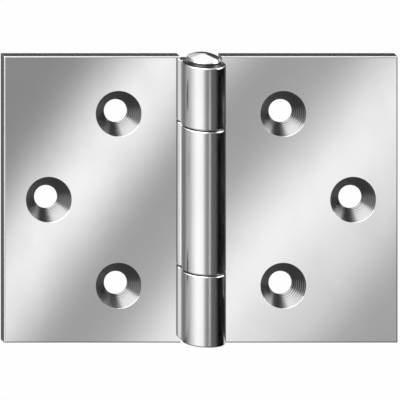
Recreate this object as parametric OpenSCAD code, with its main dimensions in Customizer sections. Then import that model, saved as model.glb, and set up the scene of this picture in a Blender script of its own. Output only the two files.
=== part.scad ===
// Wide butt hinge, opened flat. Two steel leaves are rolled into knuckles and
// turn on one fixed pin. Every length is in millimetres.
// The pin runs along Z, the leaves spread along X, and their front faces look
// towards -Y. The origin is on the pin's axis, level with the leaves' bottom edges.

/* [Leaves] */
// height of both leaves, along the pin
leaf_h = 80; // [72:1:100]
// width over both leaves when they are opened flat
open_w = 110; // [104:1:150]
// thickness of the sheet that makes the leaves and the knuckle walls
leaf_t = 3.5; // [3.3:0.1:4.5]
// bevel around the front of each leaf and on the ends of the knuckles
bevel = 0.4; // [0.1:0.05:0.6]

/* [Barrel] */
// diameter of the pin's shank
pin_d = 5; // [4:0.1:6]
// how far the barrel stops short of the leaf at each end
barrel_short = 1; // [0.9:0.1:2]
// length of the middle knuckle
mid_knuckle = 40.1; // [30:0.1:44]
// how far the middle knuckle sits above the middle of the leaf
mid_rise = 1.2; // [0:0.1:1.5]
// gap between two knuckles, along the pin
knuckle_gap = 0.3; // [0.2:0.05:0.6]
// gap between a barrel and the edge of the other leaf beside it
side_gap = 0.3; // [0.2:0.05:0.6]
// radial play of the pin in the middle knuckle
running_fit = 0.05; // [0.02:0.01:0.1]
// radial squeeze of the pin in the two outer knuckles
press_fit = 0.01; // [0.005:0.005:0.02]
// width of the hairline where the rolled sheet meets the leaf again
seam = 0.12; // [0.08:0.02:0.2]

/* [Screw holes] */
// diameter of the straight part of each screw hole
hole_d = 6.5; // [6.2:0.1:7]
// diameter of the countersink on the front face
sink_d = 12.7; // [10:0.1:12.7]
// distance from the pin to the two inner holes of a leaf
inner_x = 23; // [20:0.5:26]
// distance from the pin to the outer hole of a leaf
outer_x = 42.5; // [39:0.5:44]
// distance along the leaf between the two inner holes
inner_apart = 48; // [40:1:56]

/* [Pin ends] */
// diameter of the button head on top of the pin
head_d = 9.4; // [8:0.1:9.8]
// height of the head's upright rim
rim_h = 1; // [0.5:0.05:1.2]
// height of the sloping ring above the rim
slope_h = 0.7; // [0.2:0.05:0.8]
// width of the sloping ring, seen from above
slope_w = 0.4; // [0.3:0.05:1.2]
// height of the dome above the sloping ring
dome_h = 1.1; // [0.8:0.05:1.8]
// diameter of the hammered end at the bottom of the pin
peen_d = 7.4; // [6.6:0.1:8]
// height of the hammered end
peen_h = 0.8; // [0.4:0.05:0.85]

/* [Hidden] */
$fn = 96;
over = 1;
pin_r = pin_d / 2;
barrel_r = pin_r + leaf_t;
leaf_w = open_w / 2;
barrel_z0 = barrel_short;
barrel_z1 = leaf_h - barrel_short;
mid_z0 = leaf_h / 2 + mid_rise - mid_knuckle / 2;
mid_z1 = leaf_h / 2 + mid_rise + mid_knuckle / 2;
// distance from the pin's axis to the leaf edge beside the other leaf's knuckle
edge_x = sqrt(pow(barrel_r + side_gap, 2) - pow(pin_r, 2));
sink_depth = (sink_d - hole_d) / 2;
dome_r = head_d / 2 - slope_w;
dome_ball = (pow(dome_r, 2) + pow(dome_h, 2)) / (2 * dome_h);
peen_ball = (pow(peen_d / 2, 2) + pow(peen_h, 2)) / (2 * peen_h);

// Which piece to build

// Square bar along Z, turned onto its corner: it cuts a bevel off an edge.
module bevel_bar(length) {
    rotate([0, 0, 45])
        cube([bevel * sqrt(2), bevel * sqrt(2), length], center = true);
}

// Screw hole through the leaf along Y, countersunk from the front face.
module screw_hole(x, z) {
    translate([x, pin_r, z])
        rotate([-90, 0, 0]) {
            translate([0, 0, -over])
                cylinder(d = hole_d, h = leaf_t + 2 * over);
            cylinder(d1 = sink_d, d2 = hole_d, h = sink_depth);
            translate([0, 0, -over])
                cylinder(d = sink_d, h = over);
        }
}

// Flat part of the leaf on the +X side of the pin, with its three screw holes.
module plate() {
    difference() {
        translate([edge_x, pin_r, 0])
            cube([leaf_w - edge_x, leaf_t, leaf_h]);
        translate([leaf_w, pin_r, leaf_h / 2])
            bevel_bar(leaf_h + 2 * over);
        translate([leaf_w / 2, pin_r, 0])
            rotate([0, 90, 0])
                bevel_bar(leaf_w + 2 * over);
        translate([leaf_w / 2, pin_r, leaf_h])
            rotate([0, 90, 0])
                bevel_bar(leaf_w + 2 * over);
        screw_hole(inner_x, (leaf_h - inner_apart) / 2);
        screw_hole(inner_x, (leaf_h + inner_apart) / 2);
        screw_hole(outer_x, leaf_h / 2);
    }
}

// Knuckle from z0 to z1: the sheet leaves the plate along the back of the
// barrel, rolls once around the pin and stops against the plate's front face.
module knuckle(z0, z1, bore_r) {
    difference() {
        union() {
            rotate_extrude()
                polygon([
                    [0, z0],
                    [barrel_r - bevel, z0],
                    [barrel_r, z0 + bevel],
                    [barrel_r, z1 - bevel],
                    [barrel_r - bevel, z1],
                    [0, z1]
                ]);
            translate([0, pin_r, z0])
                cube([edge_x, leaf_t, z1 - z0]);
        }
        translate([0, 0, z0 - over])
            cylinder(r = bore_r, h = z1 - z0 + 2 * over);
        translate([0, pin_r - seam, z0 - over])
            cube([barrel_r, seam, z1 - z0 + 2 * over]);
    }
}

// Leaf for the door frame: it carries the two outer knuckles, which grip the pin.
module frame_leaf() {
    color([0.78, 0.78, 0.77])
        mirror([1, 0, 0]) {
            plate();
            knuckle(barrel_z0, mid_z0 - knuckle_gap, pin_r - press_fit);
            knuckle(mid_z1 + knuckle_gap, barrel_z1, pin_r - press_fit);
        }
}

// Leaf for the door: its single middle knuckle turns freely on the pin.
module door_leaf() {
    color([0.78, 0.78, 0.77]) {
        plate();
        knuckle(mid_z0, mid_z1, pin_r + running_fit);
    }
}

// Pin: plain shank, button head on top, hammered end underneath.
module hinge_pin() {
    color([0.82, 0.82, 0.81]) {
        translate([0, 0, barrel_z0])
            cylinder(r = pin_r, h = barrel_z1 - barrel_z0);
        translate([0, 0, barrel_z1]) {
            cylinder(d = head_d, h = rim_h);
            translate([0, 0, rim_h])
                cylinder(r1 = head_d / 2, r2 = dome_r, h = slope_h);
            translate([0, 0, rim_h + slope_h])
                intersection() {
                    translate([0, 0, dome_h - dome_ball])
                        sphere(r = dome_ball);
                    cylinder(r = dome_r + over, h = dome_h + over);
                }
        }
        translate([0, 0, barrel_z0])
            intersection() {
                translate([0, 0, peen_ball - peen_h])
                    sphere(r = peen_ball);
                translate([0, 0, -peen_h - over])
                    cylinder(r = head_d, h = peen_h + over);
            }
    }
}

frame_leaf();
door_leaf();
hinge_pin();
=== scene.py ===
# %% [markdown]
# # A wide butt hinge in polished steel
#
# The hinge is three pieces of steel. Each leaf is one flat plate with countersunk
# screw holes and with tabs rolled into knuckles, and a headed pin runs through the
# knuckles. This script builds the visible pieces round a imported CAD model, which is
# the fixed frame: its boxes say where everything goes.

# %% Load the frame
import math
import bmesh
import bpy
from mathutils import Matrix, Vector


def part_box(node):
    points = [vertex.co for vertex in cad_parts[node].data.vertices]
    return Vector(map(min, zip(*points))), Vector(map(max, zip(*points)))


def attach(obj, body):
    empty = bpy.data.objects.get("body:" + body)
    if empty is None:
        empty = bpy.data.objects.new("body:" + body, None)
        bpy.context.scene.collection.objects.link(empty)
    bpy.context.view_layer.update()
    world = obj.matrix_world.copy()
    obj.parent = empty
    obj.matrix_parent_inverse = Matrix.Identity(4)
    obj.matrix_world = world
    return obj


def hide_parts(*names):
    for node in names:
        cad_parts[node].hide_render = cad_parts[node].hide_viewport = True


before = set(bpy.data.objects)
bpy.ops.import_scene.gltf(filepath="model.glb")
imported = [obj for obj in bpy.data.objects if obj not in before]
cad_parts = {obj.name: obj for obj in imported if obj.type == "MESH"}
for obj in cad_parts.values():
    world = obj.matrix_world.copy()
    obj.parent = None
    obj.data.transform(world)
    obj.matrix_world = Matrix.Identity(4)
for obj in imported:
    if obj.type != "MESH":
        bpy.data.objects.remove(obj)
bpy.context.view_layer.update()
MM = 0.001

# %% [markdown]
# ## The sizes of the hinge
#
# A hinge maker's drawing gives everything in millimetres, so this script does too,
# and one factor turns it to metres. The large sizes are measured on the CAD pieces,
# so that the two models can't drift apart. The small ones are written down here.

# %% Measure the large sizes on the CAD pieces
leaf_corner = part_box("door_leaf")[1]
leaf_h, leaf_w, barrel_r = leaf_corner.z / MM, leaf_corner.x / MM, leaf_corner.y / MM
head_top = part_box("hinge_pin")[1].z / MM
middle = leaf_h / 2
print(f"leaf {leaf_w:.1f} x {leaf_h:.1f} mm, barrel radius {barrel_r:.1f} mm, head top {head_top:.1f} mm")

# %% Write down the small sizes
leaf_t = 3.5
pin_r = barrel_r - leaf_t
bore_r = pin_r + 0.05
seam = 0.12
side_gap = knuckle_gap = 0.3
barrel_z = (1.0, leaf_h - 1.0)
middle_z = (21.15, 61.25)
edge_x = math.sqrt((barrel_r + side_gap) ** 2 - pin_r ** 2)
hole_r, sink_r = 3.25, 6.35
inner_x, outer_x, half_apart = 23.0, 42.5, 24.0
print(f"the leaf's inner edge is {edge_x:.2f} mm from the pin's axis")

# %% [markdown]
# ## One helper for node trees
#
# A node tree in a script is a list of nodes and the links between them. One helper
# adds a node, applies its settings and fills its inputs, in their order or by name.
# A node or a socket given as an input is linked, a node by the first output that it
# shows, and any other value is typed into the field. A list means several links.

# %% Add a node with its settings and links
MATH, VECTOR, MIX = "ShaderNodeMath", "ShaderNodeVectorMath", "ShaderNodeMix"
RANGE, NOISE, AXES = "ShaderNodeMapRange", "ShaderNodeTexNoise", "ShaderNodeSeparateXYZ"


def add(tree, kind, inputs=(), **settings):
    node = tree.nodes.new(kind)
    for name, value in settings.items():
        setattr(node, name, value)
    shown = [socket for socket in node.inputs if socket.enabled]
    for key, given in inputs.items() if isinstance(inputs, dict) else enumerate(inputs):
        socket = node.inputs[key] if isinstance(key, str) else shown[key]
        for value in given if isinstance(given, list) else [given]:
            if isinstance(value, bpy.types.Node):
                value = next(output for output in value.outputs if output.enabled)
            if isinstance(value, bpy.types.NodeSocket):
                tree.links.new(value, socket)
            else:
                socket.default_value = value
    return node


trial = bpy.data.node_groups.new("trial", "GeometryNodeTree")
print("a Mix node shows", [socket.name for socket in add(trial, MIX).inputs if socket.enabled])
bpy.data.node_groups.remove(trial)

# %% [markdown]
# ## Mesh helpers
#
# Every piece ends as a plain mesh, with its modifiers applied. Small radii on the edges
# need normals that follow the large flat faces:
# Weighted Normal does that, and an angle of 30 degrees keeps real corners sharp.

# %% Make an object in millimetres, and make its modifiers plain
def mesh_object(name, points=(), edges=(), faces=()):
    mesh = bpy.data.meshes.new(name)
    mesh.from_pydata([Vector(p) * MM for p in points], edges, faces)
    thing = bpy.data.objects.new(name, mesh)
    bpy.context.scene.collection.objects.link(thing)
    return thing


def make_plain(piece):
    evaluated = piece.evaluated_get(bpy.context.evaluated_depsgraph_get())
    mesh = bpy.data.meshes.new_from_object(evaluated)
    piece.modifiers.clear()
    piece.data = mesh


print("plain meshes are made in", bpy.context.scene.name)

# %% Clean a mesh, so that it is closed and faces outwards
CORNER = math.radians(30)
SAME_POINT = 1e-7


def clean(piece, mirrored=False):
    shape = bmesh.new()
    shape.from_mesh(piece.data)
    if mirrored:
        bmesh.ops.scale(shape, vec=(-1, 1, 1), verts=shape.verts)
    bmesh.ops.remove_doubles(shape, verts=shape.verts, dist=SAME_POINT)
    bmesh.ops.recalc_face_normals(shape, faces=shape.faces)
    open_edges = sum(not edge.is_manifold for edge in shape.edges)
    volume = shape.calc_volume() / MM ** 3
    shape.to_mesh(piece.data)
    shape.free()
    print(f"{piece.name}: {len(piece.data.polygons)} faces, {open_edges} open edges, {volume:.0f} mm3")


def finish_piece(piece, metal, mirrored=False):
    clean(piece, mirrored)
    piece.data.shade_smooth()
    piece.data.set_sharp_from_angle(angle=CORNER)
    piece.modifiers.new("Flat faces rule", "WEIGHTED_NORMAL").keep_sharp = True
    make_plain(piece)
    piece.data.materials.clear()
    piece.data.materials.append(metal)


print(f"corners above {math.degrees(CORNER):.0f} degrees stay sharp")

# %% [markdown]
# ## A tree that turns an outline on a lathe
#
# The pin is turned, and so is the cutter that sinks a screw hole. On a lathe one
# outline is swept round an axis. The Screw modifier could do it, but a small Geometry
# Nodes tree shows the rule itself: take a grid with one column for each point of the
# outline and one row for each step of the turn, look up the column's point, and swing
# it by the row's angle. Merging by distance closes the seam and the two poles.

# %% Start a tree with named inputs, and use a tree on an object
def new_tree(name, inputs, output):
    tree = bpy.data.node_groups.new(name, "GeometryNodeTree")
    for label, kind in inputs.items():
        tree.interface.new_socket(label, in_out="INPUT", socket_type="NodeSocket" + kind)
    tree.interface.new_socket(output, in_out="OUTPUT", socket_type="NodeSocketGeometry")
    return tree, add(tree, "NodeGroupInput").outputs


def use_tree(piece, tree, **values):
    modifier = piece.modifiers.new(tree.name, "NODES")
    modifier.node_group = tree
    sockets = [item for item in tree.interface.items_tree if item.in_out == "INPUT"]
    named = {socket.name: socket.identifier for socket in sockets}
    for name, value in values.items():
        modifier[named[name.replace("_", " ")]] = value


lathe, given = new_tree("Turn on a lathe", {
    "Outline": "Geometry", "Steps": "Int", "Finish": "Material"}, "Turned")
print("lathe inputs:", [socket.name for socket in given if socket.name])

# %% Find each grid point's place on the outline and its angle
count = add(lathe, "GeometryNodeAttributeDomainSize", {"Geometry": given["Outline"]}, component="MESH")
rows = add(lathe, MATH, (given["Steps"], 1), operation="ADD")
grid = add(lathe, "GeometryNodeMeshGrid", {"Vertices X": count.outputs["Point Count"], "Vertices Y": rows})
index = add(lathe, "GeometryNodeInputIndex")
column = add(lathe, "FunctionNodeIntegerMath", (index, rows), operation="DIVIDE_FLOOR")
row = add(lathe, "FunctionNodeIntegerMath", (index, rows), operation="MODULO")
one_step = add(lathe, MATH, (math.tau, given["Steps"]), operation="DIVIDE")
angle = add(lathe, MATH, (row, one_step), operation="MULTIPLY")
print("the angles take", len(lathe.nodes), "nodes")

# %% Swing the points and close the mesh
point = add(lathe, "GeometryNodeSampleIndex", {
    "Geometry": given["Outline"], "Value": add(lathe, "GeometryNodeInputPosition"), "Index": column},
    data_type="FLOAT_VECTOR")
swung = add(lathe, "ShaderNodeVectorRotate", {"Vector": point, "Angle": angle}, rotation_type="Z_AXIS")
moved = add(lathe, "GeometryNodeSetPosition", {"Geometry": grid, "Position": swung})
joined = add(lathe, "GeometryNodeMergeByDistance", {"Geometry": moved, "Distance": SAME_POINT})
real = add(lathe, "GeometryNodeRealizeInstances", {"Geometry": joined})
done = add(lathe, "GeometryNodeSetMaterial", {"Geometry": real, "Material": given["Finish"]})
add(lathe, "NodeGroupOutput", {"Turned": done})
print("lathe tree:", len(lathe.nodes), "nodes")

# %% Turn an outline, given as radius and height
def turn(name, outline, steps, finish=None):
    corners = [(r, 0, z) for r, z in outline]
    piece = mesh_object(name, corners, [(i, i + 1) for i in range(len(corners) - 1)])
    use_tree(piece, lathe, Steps=steps, Finish=finish)
    make_plain(piece)
    return piece


def arc(centre_r, centre_z, radius, start, end, steps):
    angles = [math.radians(start + (end - start) * i / steps) for i in range(steps + 1)]
    return [(centre_r + radius * math.cos(a), centre_z + radius * math.sin(a)) for a in angles]


print("an eighth of a circle in 2 steps:", [(round(r, 2), round(z, 2)) for r, z in arc(0, 0, 1, 0, 45, 2)])

# %% [markdown]
# ## Steel
#
# The leaves are stainless sheet. The fronts and the barrel are buffed nearly to a
# mirror after rolling, so the reflections of the room do most of the work. The
# material adds what buffing leaves: hairlines along the leaf, and faint patches that
# are a little duller. The countersinks are cut after buffing, so they are duller and
# covered in turned rings, and their colour is darkened as painted shade in the recess.
# The back keeps the grey mill finish, with long rolling lines, and the stamped edges
# show fine shear marks across the sheet. The barrel's colour is darkened where a
# knuckle meets its leaf: painted shade in the crease.
#
# All of it is placed from Object coordinates, in millimetres, so that it stays on the
# metal when a leaf swings. Real hairlines and shear marks are about 0.05 mm wide, and
# the rings that a bit leaves are about 0.1 mm apart. Both are too fine to show, so they
# are drawn several times as coarse. Metal keeps the default IOR.

# %% Name the tones of the finishes
def linear(hex_colour):
    channels = [int(hex_colour[i:i + 2], 16) / 255 for i in (1, 3, 5)]
    return (*[c / 12.92 if c <= 0.04045 else ((c + 0.055) / 1.055) ** 2.4 for c in channels], 1)


BUFFED, BUFFED_DULL = linear("#DCDCDC"), linear("#D7D7D7")
# The first tone on the next line colours the cut countersinks, darkened as painted shade in the recess.
# The second tone on the next line is painted shade for the barrel's crease, where a knuckle meets its
# leaf.
CUT_AND_SHADE, CREASE_SHADE = linear("#6C6C6C"), linear("#626262")
MILL, MILL_DARK = linear("#BEBEBE"), linear("#AEAEAE")
# The last tone on the next line is painted shade for the upright wall of the pin's head.
SHEARED, HEAD_WALL_SHADE = linear("#ABABAB"), linear("#505050")
print("buffed steel, linear:", [round(c, 3) for c in BUFFED])


# %% Start a metal and measure places on it in millimetres
def new_metal(name):
    metal = bpy.data.materials.new(name)
    metal.use_nodes = True
    tree = metal.node_tree
    tree.nodes["Principled BSDF"].inputs["Metallic"].default_value = 1.0
    coords = add(tree, "ShaderNodeTexCoord")
    place = add(tree, VECTOR, (coords.outputs["Object"], 1 / MM), operation="SCALE")
    facing = add(tree, AXES, (coords.outputs["Normal"],)).outputs["Y"]
    round_pin = add(tree, VECTOR, (place, (1, 1, 0)), operation="MULTIPLY")
    to_pin = add(tree, VECTOR, (round_pin,), operation="LENGTH")
    return metal, tree, place, facing, to_pin


leaf_metal, tree, place, facing, to_pin = new_metal("buffed_stainless_sheet")
print("leaf metal starts with", len(tree.nodes), "nodes")

# %% Find the countersinks: fold the leaf onto one quarter, then measure to its two holes
x, y, z = add(tree, AXES, (place,)).outputs
centred = add(tree, VECTOR, (place, (0, 0, middle)), operation="SUBTRACT")
folded = add(tree, VECTOR, (centred,), operation="ABSOLUTE")
flat = add(tree, VECTOR, (folded, (1, 0, 1)), operation="MULTIPLY")
to_inner = add(tree, VECTOR, (flat, (inner_x, 0, half_apart)), operation="DISTANCE")
to_outer = add(tree, VECTOR, (flat, (outer_x, 0, 0)), operation="DISTANCE")
to_hole = add(tree, MATH, (to_inner, to_outer), operation="MINIMUM")
in_circle = add(tree, MATH, (to_hole, sink_r + 0.02), operation="LESS_THAN")
before_back = add(tree, MATH, (y, barrel_r - 0.2), operation="LESS_THAN")
is_sink = add(tree, MATH, (in_circle, before_back), operation="MULTIPLY")
print("countersinks are", inner_x, "and", outer_x, "mm from the pin")

# %% Find the barrel and its band of painted crease shade, the back and the stamped edges
# Painted shade: between these depths the barrel's colour darkens, in the crease where a knuckle meets its
# leaf.
darkens, clears = (-3.9, -1.2), (0.2, 1.2)
is_barrel = add(tree, MATH, (to_pin, barrel_r + 0.1), operation="LESS_THAN")
not_barrel = add(tree, MATH, (1.0, is_barrel), operation="SUBTRACT")
crease_shade_start = add(tree, RANGE, (y, *darkens, 0, 1), interpolation_type="SMOOTHSTEP")
crease_shade_end = add(tree, RANGE, (y, *clears, 1, 0), interpolation_type="SMOOTHSTEP")
crease_shade_band = add(tree, MATH, (crease_shade_start, crease_shade_end), operation="MULTIPLY")
is_crease_shade = add(tree, MATH, (crease_shade_band, is_barrel), operation="MULTIPLY")
looks_back = add(tree, MATH, (facing, 0.5), operation="GREATER_THAN")
is_back = add(tree, MATH, (looks_back, not_barrel), operation="MULTIPLY")
tilt = add(tree, MATH, (facing,), operation="ABSOLUTE")
looks_sideways = add(tree, MATH, (tilt, 0.3), operation="LESS_THAN")
is_round = add(tree, MATH, (is_barrel, is_sink), operation="MAXIMUM")
not_round = add(tree, MATH, (1.0, is_round), operation="SUBTRACT")
is_edge = add(tree, MATH, (looks_sideways, not_round), operation="MULTIPLY")
print("masks use", len(tree.nodes), "nodes so far")

# %% Draw its patterns: noise stretched to the size of each mark, in millimetres
marks = {}
for name, size, detail in (("patches", (14, 14, 22), 3.0), ("mill lines", (0.8, 0.8, 120), 1.0),
                           ("hairlines", (0.35, 0.35, 30), 2.0), ("rolling", (0.5, 0.5, 45), 4.0),
                           ("shear", (0.3, 6, 0.3), 2.0)):
    squeezed = add(tree, VECTOR, (place, tuple(1 / side for side in size)), operation="MULTIPLY")
    marks[name] = add(tree, NOISE, {"Vector": squeezed, "Scale": 1.0, "Detail": detail}).outputs["Fac"]
    print(f"{name}: about {min(size)} mm wide and {max(size)} mm long")

# %% Its colour
patchy = add(tree, RANGE, (marks["patches"], 0.35, 0.7), interpolation_type="SMOOTHSTEP")
lined = add(tree, RANGE, (marks["mill lines"], 0.25, 0.75), interpolation_type="SMOOTHSTEP")
colour = add(tree, MIX, (patchy, BUFFED, BUFFED_DULL), data_type="RGBA")
mill = add(tree, MIX, (lined, MILL, MILL_DARK), data_type="RGBA")
# The countersinks' dark tone mixed in here is painted shade in the recess; their roughness and rings are
# the real cut finish.
# The crease band mixed in here is painted shade on the barrel.
for mask, tone in ((is_crease_shade, CREASE_SHADE), (is_back, mill), (is_edge, SHEARED), (is_sink, CUT_AND_SHADE)):
    colour = add(tree, MIX, (mask, colour, tone), data_type="RGBA")
print("colour mixes 4 finishes over the buffed one")

# %% Its roughness, near that of a mirror on the front
roughness = add(tree, MIX, (marks["patches"], 0.03, 0.055))
for mask, value in ((is_barrel, 0.17), (is_back, 0.34), (is_edge, 0.2), (is_sink, 0.24)):
    roughness = add(tree, MIX, (mask, roughness, value))
print("roughness mixes 4 finishes over the buffed one")

# %% Its relief: how deep each mark is, in millimetres
sink_ring_pitch = 0.45
ring_phase = add(tree, MATH, (to_hole, math.tau / sink_ring_pitch), operation="MULTIPLY")
rings = add(tree, MATH, (ring_phase,), operation="SINE")
relief = add(tree, MATH, (marks["hairlines"], 0.0001), operation="MULTIPLY")
for mask, mark, depth in ((is_back, marks["rolling"], 0.02), (is_edge, marks["shear"], 0.04),
                          (is_sink, rings, 0.011)):
    deep = add(tree, MATH, (mark, depth), operation="MULTIPLY")
    relief = add(tree, MIX, (mask, relief, deep))
print("rings in the countersinks are", sink_ring_pitch, "mm apart")


# %% Link colour, roughness and relief to the metal's shader
def finish_metal(tree, colour, roughness, relief):
    bump = add(tree, "ShaderNodeBump", {"Height": relief, "Distance": MM, "Strength": 1.0})
    shader = tree.nodes["Principled BSDF"]
    for name, node in (("Base Color", colour), ("Roughness", roughness), ("Normal", bump)):
        shown = next(output for output in node.outputs if output.enabled)
        tree.links.new(shown, shader.inputs[name])


finish_metal(tree, colour, roughness, relief)
print("leaf metal:", len(tree.nodes), "nodes")

# %% [markdown]
# The pin is bar stock. Its head was turned and then buffed, so faint rings run round
# the axis, and the upright wall of the head is coloured dark as painted shade. The
# bottom end was hammered over, which leaves small flats.

# %% The pin metal
pin_metal, tree, place, facing, to_pin = new_metal("turned_stainless_bar")
wall_top, wall_r = barrel_z[1] + 0.95, 4.5
z = add(tree, AXES, (place,)).outputs["Z"]
is_peened = add(tree, MATH, (z, barrel_z[0]), operation="LESS_THAN")
below_rim = add(tree, MATH, (z, wall_top), operation="LESS_THAN")
far_out = add(tree, MATH, (to_pin, wall_r), operation="GREATER_THAN")
is_shaded_wall = add(tree, MATH, (below_rim, far_out), operation="MULTIPLY")
patch_size = 2.0
patches = add(tree, NOISE, {"Vector": place, "Scale": 1 / patch_size, "Detail": 3.0}).outputs["Fac"]
print(f"the head's wall stays dark up to {wall_top:.2f} mm")

# %% Its colour, roughness and relief
colour = add(tree, MIX, (is_peened, BUFFED, MILL), data_type="RGBA")
# Painted shade: the upright wall of the head is coloured dark.
colour = add(tree, MIX, (is_shaded_wall, colour, HEAD_WALL_SHADE), data_type="RGBA")
roughness = add(tree, MIX, (patches, 0.08, 0.16))
for mask, value in ((is_peened, 0.3), (is_shaded_wall, 0.35)):
    roughness = add(tree, MIX, (mask, roughness, value))
head_ring_pitch, flats_per_mm = 0.4, 1.1
ring_phase = add(tree, MATH, (to_pin, math.tau / head_ring_pitch), operation="MULTIPLY")
rings = add(tree, MATH, (ring_phase,), operation="SINE")
flats = add(tree, "ShaderNodeTexVoronoi", {"Vector": place, "Scale": flats_per_mm}).outputs["Distance"]
turned = add(tree, MATH, (rings, 0.0008), operation="MULTIPLY")
hammered = add(tree, MATH, (flats, 0.09), operation="MULTIPLY")
finish_metal(tree, colour, roughness, add(tree, MIX, (is_peened, turned, hammered)))
print("pin metal:", len(tree.nodes), "nodes")

# %% [markdown]
# ## The pin
#
# A plain shank, a button head with an upright rim, a shallow sloping ring and a dome,
# and a low hammered end. One outline on the lathe holds all of it. The arcs are short
# straight steps, and the rim gets a tiny radius because a buffed edge is never sharp.

# %% Draw the outline and turn the pin
head_r, dome_r, rim_h, dome_h, peen_r, peen_h = 4.7, 4.3, 1.0, 1.1, 3.7, 0.8
rim_radius = 0.1
dome_ball = (dome_r ** 2 + dome_h ** 2) / (2 * dome_h)
peen_ball = (peen_r ** 2 + peen_h ** 2) / (2 * peen_h)
dome_tilt = math.degrees(math.asin(dome_r / dome_ball))
peen_tilt = math.degrees(math.asin(peen_r / peen_ball))
outline = arc(0, barrel_z[0] - peen_h + peen_ball, peen_ball, -90, -90 + peen_tilt, 10)
outline += [(pin_r, barrel_z[0]), (pin_r, barrel_z[1]), (head_r - rim_radius / 2, barrel_z[1])]
outline += arc(head_r - rim_radius, barrel_z[1] + rim_h - rim_radius / 2, rim_radius, 0, 28, 2)
outline += arc(0, head_top - dome_ball, dome_ball, 90 - dome_tilt, 90, 16)
outline[0], outline[-1] = (0, outline[0][1]), (0, outline[-1][1])
pin = turn("pin", outline, 128, pin_metal)
finish_piece(pin, pin_metal)
print(f"the dome tilts up to {dome_tilt:.0f} degrees, the hammered end up to {peen_tilt:.0f}")

# %% [markdown]
# ## The leaves, made as the factory makes them
#
# A leaf starts as a flat blank: a plate with tabs. The blank is stamped, the screw
# holes are sunk, and then the tabs are rolled round a mandrel as thick as the pin.
# The same order works here. The plate is a box with rounded edges, the tabs are long
# bars cut into many short lengths so that they can bend, one tree joins them and
# sinks the holes, and a second tree rolls the tabs.

# %% Stamp the plate, with a wide radius on its front edges
EDGE_RADIUS = 0.4


def plate_blank(name):
    sides = (edge_x, leaf_w), (pin_r, barrel_r), (0, leaf_h)
    piece = mesh_object(name)
    shape = bmesh.new()
    bmesh.ops.create_cube(shape, size=1)
    for vertex in shape.verts:
        vertex.co = Vector(side[corner > 0] for side, corner in zip(sides, vertex.co)) * MM
    weight = shape.edges.layers.float.new("bevel_weight_edge")
    for edge in shape.edges:
        centre = (edge.verts[0].co + edge.verts[1].co) / 2 / MM
        is_front = abs(centre.y - pin_r) < 0.01
        is_inner = abs(centre.x - edge_x) < 0.01
        edge[weight] = 0.2 if is_inner else 1.0 if is_front else 0.3
    shape.to_mesh(piece.data)
    shape.free()
    rounding = piece.modifiers.new("Rounded edges", "BEVEL")
    rounding.width, rounding.segments, rounding.limit_method = EDGE_RADIUS * MM, 4, "WEIGHT"
    make_plain(piece)
    return piece


print(f"front edges get a radius of {EDGE_RADIUS} mm")

# %% Plan a tab: its section, and the short lengths that it is cut into
INSIDE_RADIUS = 0.12
nearly_round, bend_steps, into_plate = math.radians(300), 110, 1.2
tab_length = (pin_r + leaf_t / 2) * nearly_round
stations = [edge_x + into_plate, edge_x, 0.0]
stations += [-tab_length * (i + 1) / bend_steps for i in range(bend_steps)]


def tab_section(z0, z1):
    section = []
    for edge_z, edge_y, radius, start in (
            (z0, barrel_r, EDGE_RADIUS, 90), (z0, pin_r, INSIDE_RADIUS, 180),
            (z1, pin_r, INSIDE_RADIUS, 270), (z1, barrel_r, EDGE_RADIUS, 0)):
        inward = radius if edge_z == z0 else -radius
        depth = -radius if edge_y == barrel_r else radius
        section += arc(edge_z + inward, edge_y + depth, radius, start, start + 90, 4)
    return section


print(f"a tab is {tab_length:.1f} mm long and bends in {bend_steps} steps")


# %% Loft the tabs of one leaf
def tab_blank(name, spans):
    corners, faces = [], []
    for z0, z1 in spans:
        section = tab_section(z0, z1)
        size, first = len(section), len(corners)
        for station in stations:
            corners += [(station, edge_y, edge_z) for edge_z, edge_y in section]
        for ring_start in range(first, len(corners) - size, size):
            for i in range(size):
                a, b = ring_start + i, ring_start + (i + 1) % size
                faces.append((a, b, b + size, a + size))
        faces += [range(first, first + size), range(len(corners) - 1, len(corners) - size - 1, -1)]
    piece = mesh_object(name, corners, [], faces)
    clean(piece)
    return piece


print("a tab's section has", len(tab_section(*middle_z)), "corners")

# %% [markdown]
# ### Sinking the screw holes
#
# A countersink bit cuts a straight hole and a 90 degree cone in one go. The bit is one
# turned outline with a small edge break where the cone meets the face. The tree sets
# three points at the hole positions, puts a bit on each, joins the plate with its
# tabs, and takes the bits away. The middle hole sits further out than the other two,
# so screws in a row never share the same line of wood grain.

# %% Turn the countersink bit and lay it along Y
past = 1
lip_out, lip_in, lip_depth = 0.06, 0.04, 0.09
bit_outline = [(0, -past), (sink_r + lip_out, -past), (sink_r + lip_out, 0), (sink_r - lip_in, lip_depth),
               (hole_r, sink_r - hole_r), (hole_r, leaf_t + past), (0, leaf_t + past)]
bit = turn("countersink_bit", bit_outline, 96)
bit.data.transform(Matrix.Translation((0, pin_r * MM, 0)) @ Matrix.Rotation(math.radians(-90), 4, "X"))
clean(bit)

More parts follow.
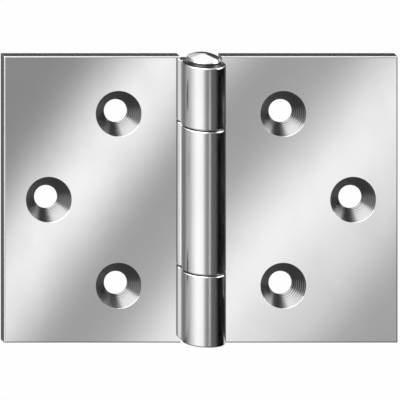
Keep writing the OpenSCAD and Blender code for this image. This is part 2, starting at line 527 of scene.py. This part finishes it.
# %% Start the tree that joins and sinks: where the three bits go
punch, given = new_tree("Join tabs and sink holes", {
    "Plate": "Geometry", "Tabs": "Object", "Bit": "Object", "Inner X": "Float", "Outer X": "Float",
    "Middle Z": "Float", "Half Apart": "Float", "Finish": "Material"}, "Blank")
low = add(punch, MATH, (given["Middle Z"], given["Half Apart"]), operation="SUBTRACT")
lowest = add(punch, "ShaderNodeCombineXYZ", {"X": given["Inner X"], "Z": low})
climb = add(punch, "ShaderNodeCombineXYZ", {"Z": given["Half Apart"]})
holes = add(punch, "GeometryNodeMeshLine", {"Count": 3, "Start Location": lowest, "Offset": climb})
is_middle = add(punch, MATH, (add(punch, "GeometryNodeInputIndex"), 1.0, 0.1), operation="COMPARE")
further = add(punch, MATH, (given["Outer X"], given["Inner X"]), operation="SUBTRACT")
outwards = add(punch, MATH, (is_middle, further), operation="MULTIPLY")
shift = add(punch, "ShaderNodeCombineXYZ", {"X": outwards})
staggered = add(punch, "GeometryNodeSetPosition", {"Geometry": holes, "Offset": shift})
print("the middle hole is", outer_x - inner_x, "mm further out")

# %% Join the tabs, take the bits away
one_bit = add(punch, "GeometryNodeObjectInfo", {"Object": given["Bit"]}, transform_space="ORIGINAL")
bits = add(punch, "GeometryNodeInstanceOnPoints", {
    "Points": staggered, "Instance": one_bit.outputs["Geometry"]})
loose_bits = add(punch, "GeometryNodeRealizeInstances", {"Geometry": bits})
all_tabs = add(punch, "GeometryNodeObjectInfo", {"Object": given["Tabs"]}, transform_space="ORIGINAL")
whole = add(punch, "GeometryNodeMeshBoolean", {"Mesh 2": [given["Plate"], all_tabs.outputs["Geometry"]]},
            operation="UNION", solver="EXACT")
sunk = add(punch, "GeometryNodeMeshBoolean", {"Mesh 1": whole, "Mesh 2": loose_bits},
           operation="DIFFERENCE", solver="EXACT")
real = add(punch, "GeometryNodeRealizeInstances", {"Geometry": sunk})
done = add(punch, "GeometryNodeSetMaterial", {"Geometry": real, "Material": given["Finish"]})
add(punch, "NodeGroupOutput", {"Blank": done})
print("punch tree:", len(punch.nodes), "nodes")

# %% [markdown]
# ### Rolling the tabs
#
# Rolling is a rule about each point of the tab. How far it lies past the pin says how
# far round it goes, and how deep it lies in the sheet says at which radius. The end of
# the tab is cut on a slant so that it lies flat against the leaf, so each depth has
# its own last angle: the angle at which that radius comes back to the leaf's front.

# %% Build the tree that rolls
roll, given = new_tree("Roll the tabs", {
    "Blank": "Geometry", "Pin Radius": "Float", "Bore Radius": "Float", "Barrel Radius": "Float",
    "Seam": "Float", "Tab Length": "Float", "Finish": "Material"}, "Leaf")
along, deep, height = add(roll, AXES, (add(roll, "GeometryNodeInputPosition"),)).outputs
radius = add(roll, RANGE, (deep, given["Pin Radius"], given["Barrel Radius"],
                           given["Bore Radius"], given["Barrel Radius"]), clamp=False)
landing_y = add(roll, MATH, (given["Pin Radius"], given["Seam"]), operation="SUBTRACT")
landing_share = add(roll, MATH, (landing_y, radius), operation="DIVIDE")
landing = add(roll, MATH, (landing_share,), operation="ARCCOSINE")
less_than_full = add(roll, MATH, (landing, math.tau), operation="SUBTRACT")
share = add(roll, MATH, (along, given["Tab Length"]), operation="DIVIDE")
turned = add(roll, MATH, (share, less_than_full), operation="MULTIPLY")
straight = add(roll, "ShaderNodeCombineXYZ", {"Y": radius, "Z": height})
rolled = add(roll, "ShaderNodeVectorRotate", {"Vector": straight, "Angle": turned}, rotation_type="Z_AXIS")
on_tab = add(roll, MATH, (along, 1e-6), operation="LESS_THAN")
bent = add(roll, "GeometryNodeSetPosition", {
    "Geometry": given["Blank"], "Selection": on_tab, "Position": rolled})
real = add(roll, "GeometryNodeRealizeInstances", {"Geometry": bent})
done = add(roll, "GeometryNodeSetMaterial", {"Geometry": real, "Material": given["Finish"]})
add(roll, "NodeGroupOutput", {"Leaf": done})
print("roll tree:", len(roll.nodes), "nodes")


# %% Make both leaves from their blanks
def make_leaf(name, spans, mirrored=False):
    piece = plate_blank(name)
    tabs = tab_blank(name + "_tabs", spans)
    use_tree(piece, punch, Tabs=tabs, Bit=bit, Inner_X=inner_x * MM, Outer_X=outer_x * MM,
             Middle_Z=middle * MM, Half_Apart=half_apart * MM, Finish=leaf_metal)
    use_tree(piece, roll, Pin_Radius=pin_r * MM, Bore_Radius=bore_r * MM, Barrel_Radius=barrel_r * MM,
             Seam=seam * MM, Tab_Length=tab_length * MM, Finish=leaf_metal)
    make_plain(piece)
    bpy.data.objects.remove(tabs)
    finish_piece(piece, leaf_metal, mirrored)
    return piece


outer_spans = [(barrel_z[0], middle_z[0] - knuckle_gap), (middle_z[1] + knuckle_gap, barrel_z[1])]
leaf_on_frame = make_leaf("leaf_on_frame", outer_spans, mirrored=True)
leaf_on_door = make_leaf("leaf_on_door", [middle_z])
bpy.data.objects.remove(bit)

# %% [markdown]
# ## Put the pieces on their bodies
#
# The frame leaf and the pin stay together, and the door leaf swings on the pin. Each
# visible piece rides on its CAD body and stands for its CAD node.

# %% Ride on a body, and hide the CAD piece that it replaces
for piece, body, node, slot in ((leaf_on_frame, "frame_side", "frame_leaf", "leaf_steel"),
                                (leaf_on_door, "door_side", "door_leaf", "leaf_steel"),
                                (pin, "frame_side", "hinge_pin", "pin_steel")):
    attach(piece, body)
    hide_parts(node)
    print(piece.name, "rides on", body)

# %% [markdown]
# ## A light tent
#
# Polished steel shows its surroundings, not itself, so product photographers put it in
# a light tent: a white shell with a few grey and black cards inside. Here the tent is
# a shell that only reflections can see. Its brightness is drawn by direction: round
# the horizon a ramp goes from white at the front left, through grey behind, to black
# at the right. Above it is the white top of the tent, below it the light falls off, and
# round cards with soft edges are laid over all of that. The large bright one at the
# upper left whitens the lower walls of the countersinks. The small dark ones behind
# darken the top edges of the leaves and one side of the dome.

# %% List the ring of the tent: azimuth in degrees, brightness
ring = [(-180, 0.3), (-160, 0.2), (-110, 0.45), (-45, 1.4), (-25, 1.35), (0, 0.35), (15, 0.2),
        (40, 0.15), (70, 0.0), (105, 0.0), (130, 1.0), (150, 1.0), (180, 0.3)]
print("brightest at an azimuth of", max(ring, key=lambda stop: stop[1])[0], "degrees")

# %% Start a light that only glows, and ease its brightness from stop to stop
GREATEST = 2.0


def new_light(name):
    light = bpy.data.materials.new(name)
    light.use_nodes = True
    light.node_tree.nodes.clear()
    return light, light.node_tree, add(light.node_tree, "ShaderNodeTexCoord").outputs["Object"]


def brightness_at(tree, where, stops):
    first, last = stops[0][0], stops[-1][0]
    ramp = add(tree, "ShaderNodeValToRGB", (add(tree, RANGE, (where, first, last)),))
    ramp.color_ramp.interpolation = "EASE"
    points = ramp.color_ramp.elements
    while len(points) < len(stops):
        points.new(0.5)
    for point, (position, value) in zip(points, stops):
        point.position = (position - first) / (last - first)
        point.color = (value / GREATEST, value / GREATEST, value / GREATEST, 1)
    return add(tree, MATH, (ramp, GREATEST), operation="MULTIPLY")


def glow(tree, brightness):
    shine = add(tree, "ShaderNodeEmission", {"Color": (1, 1, 1, 1), "Strength": brightness})
    add(tree, "ShaderNodeOutputMaterial", {"Surface": shine})


tent_light, tree, spot = new_light("tent_light")
aim = add(tree, VECTOR, (spot,), operation="NORMALIZE")
print("a ramp holds 0 to 1, so brightness up to", GREATEST, "is halved on it and doubled after it")

# %% Draw the ring round the horizon
x, y, z = add(tree, AXES, (aim,)).outputs
forward = add(tree, MATH, (y, -1.0), operation="MULTIPLY")
azimuth = add(tree, MATH, (add(tree, MATH, (x, forward), operation="ARCTAN2"),), operation="DEGREES")
elevation = add(tree, MATH, (add(tree, MATH, (z,), operation="ARCSINE"),), operation="DEGREES")
brightness = brightness_at(tree, azimuth, ring)
print("the ring has", len(ring), "stops")

# %% Let it fall off downwards, then lay in the ground and the white top
fading = add(tree, RANGE, (elevation, -42, -14, 0.25, 1.0), interpolation_type="SMOOTHSTEP")
brightness = add(tree, MATH, (brightness, fading), operation="MULTIPLY")
for start, end, value in ((-30, -62, 0.24), (18, 38, 1.35)):
    share = add(tree, RANGE, (elevation, start, end), interpolation_type="SMOOTHSTEP")
    brightness = add(tree, MIX, (share, brightness, value))
    print(f"from {start} to {end} degrees of height the light turns to {value}")

# %% Hang round cards with soft edges: azimuth, elevation, inner and outer radius, brightness
cards = [(-174, 24, 14, 19, 0.8), (147, 26, 11, 14, 0.08), (161, 12, 9, 13, 0.03), (-45, 50, 32, 37, 5.6),
         (80, 25, 17, 21, 6.0), (68, 52, 16, 22, 0.12), (88, 1, 8, 12, 0.45)]
for *angles, value in cards:
    a, e, inner, outer = [math.radians(angle) for angle in angles]
    card_centre = (math.sin(a) * math.cos(e), -math.cos(a) * math.cos(e), math.sin(e))
    nearness = add(tree, VECTOR, (aim, card_centre), operation="DOT_PRODUCT")
    share = add(tree, RANGE, (nearness, math.cos(outer), math.cos(inner)), interpolation_type="SMOOTHSTEP")
    brightness = add(tree, MIX, (share, brightness, value))
glow(tree, brightness)
print("tent light:", len(tree.nodes), "nodes")


# %% Hang the tent, where nothing but reflections can see it
def only_in_reflections(thing, light):
    thing.data.materials.append(light)
    light.cycles.emission_sampling = "NONE"
    for ray in ("camera", "diffuse", "transmission", "volume_scatter", "shadow"):
        setattr(thing, "visible_" + ray, False)


centre = Vector((0, 0, middle)) * MM
tent_r = 2.5
tent = mesh_object("tent")
shape = bmesh.new()
bmesh.ops.create_icosphere(shape, subdivisions=5, radius=tent_r)
shape.to_mesh(tent.data)
shape.free()
tent.data.shade_smooth()
tent.location = centre
only_in_reflections(tent, tent_light)
print("tent radius", tent_r, "m")

# %% [markdown]
# A flat mirror looks flat if all it sees is one far-off tone. A striped card nearer to
# the hinge, standing where both leaves reflect it, gives them their diagonal bands.
# The card is a little larger than the leaves, and its bands are drawn in millimetres
# across it. They lean more on its left half.

# %% List the bands of the near card: place across the card in mm, brightness
bands = [(-130, 0.35), (-90, 1.3), (-55, 0.45), (-40, 0.5), (-5, 1.25), (20, 1.0), (50, 0.5)]
right_lean, extra_left = 1.1, 0.3
print("the bands run over", bands[-1][0] - bands[0][0], "mm")

# %% Draw the bands across the card
band_light, tree, spot = new_light("band_light")
on_card = add(tree, VECTOR, (spot, 1 / MM), operation="SCALE")
x, y, z = add(tree, AXES, (on_card,)).outputs
down = add(tree, MATH, (z, -1.0, -middle), operation="MULTIPLY_ADD")
along = add(tree, MATH, (x, right_lean, down), operation="MULTIPLY_ADD")
left = add(tree, MATH, (x, 0.0), operation="MINIMUM")
along = add(tree, MATH, (left, extra_left, along), operation="MULTIPLY_ADD")
glow(tree, brightness_at(tree, along, bands))
print("band light:", len(tree.nodes), "nodes")

# %% Stand the near card where the leaves reflect it
SLANT = 0.285
card_away = 0.8
margin = 25
half_x, half_z = leaf_w + margin, middle + margin
corners = [(-half_x, 0, -half_z), (half_x, 0, -half_z), (half_x, 0, half_z), (-half_x, 0, half_z)]
near_card = mesh_object("near_card", corners, [], [(0, 1, 2, 3)])
near_card.location = centre + Vector((SLANT, -1, -SLANT)) * card_away
only_in_reflections(near_card, band_light)
print("near card at", [round(v, 3) for v in near_card.location])

# %% [markdown]
# ## Floor, room light and camera
#
# The floor and the room are plain and nearly white, and the floor lies well below the
# hinge so that no shadow touches it.

# %% Lay the floor
floor_paint = bpy.data.materials.new("pale_floor")
floor_paint.use_nodes = True
paint = floor_paint.node_tree.nodes["Principled BSDF"]
paint.inputs["Base Color"].default_value = linear("#F8F8F8")
paint.inputs["Roughness"].default_value = 0.9
paint.inputs["Specular IOR Level"].default_value = 0.0
reach = 6 / MM
corners = [(-reach, -reach, 0), (reach, -reach, 0), (reach, reach, 0), (-reach, reach, 0)]
floor = mesh_object("floor", corners, [], [(0, 1, 2, 3)])
floor.location = (0, 0, -0.25)
floor.data.materials.append(floor_paint)
floor.visible_glossy = False
print("the floor lies", floor.location.z, "m from the hinge")

# %% Light the room
room = bpy.data.worlds.new("room")
bpy.context.scene.world = room
room.use_nodes = True
air = room.node_tree.nodes["Background"]
air.inputs["Color"].default_value = (1, 1, 1, 1)
air.inputs["Strength"].default_value = 1.06
print("room light:", round(air.inputs["Strength"].default_value, 2))

# %% [markdown]
# Catalogue drawings of hardware are often oblique: the front keeps its true shape, and
# depth runs off at a slant. A camera does that when its view is sheared. An ordinary
# camera can't be sheared, but its parent inverse matrix can hold any transform: the
# picture's axes stay on X and Z, and the direction of sight leans to the side and down.

# %% Set up the oblique camera: in front of the hinge, and leaning to its upper left
picture_w = 111.73 * MM
lens = bpy.data.cameras.new("camera")
lens.type, lens.ortho_scale = "ORTHO", picture_w
lens.clip_start, lens.clip_end = 0.01, 20
camera = bpy.data.objects.new("camera", lens)
stand = bpy.data.objects.new("camera_stand", None)
for thing in (camera, stand):
    bpy.context.scene.collection.objects.link(thing)
aim_at = centre + Vector((-1.0, 0, 0.65)) * MM
back = Vector((-SLANT, -1, SLANT))
away = aim_at + back * 0.4
camera.parent = stand
camera.matrix_parent_inverse = Matrix(((1, 0, back.x, away.x), (0, 0, back.y, away.y),
                                       (0, 1, back.z, away.z), (0, 0, 0, 1)))
bpy.context.scene.camera = camera
bpy.context.scene.view_settings.view_transform = "Standard"
print("camera aims at", [round(v, 4) for v in aim_at])
